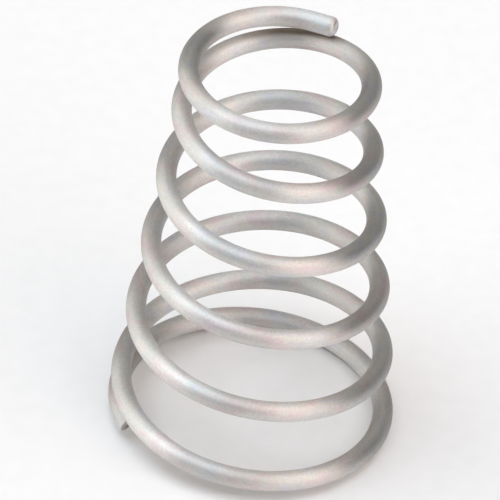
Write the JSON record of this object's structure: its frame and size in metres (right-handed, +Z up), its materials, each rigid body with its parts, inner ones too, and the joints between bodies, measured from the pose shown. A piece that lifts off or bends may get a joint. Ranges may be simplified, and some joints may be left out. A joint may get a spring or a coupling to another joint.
{
  "type": "conical compression spring",
  "caption": "Small conical compression spring of round steel wire, wound left-handed, with closed unground ends, a wide base and a narrow top.",
  "frame": {"origin": "on the spring's axis, in the plane that its wide base stands on", "axes": "+Z up along the spring's axis, from the wide base to the narrow end. The upper wire tip lies 58 degrees anticlockwise from +X, seen from above, and the lower tip 202 degrees"},
  "size_m": [0.017, 0.017, 0.0263],
  "materials": {
    "spring_steel": "satin"
  },
  "bodies": {
    "root": {"spring": "spring_steel"}
  },
  "joints": []
}
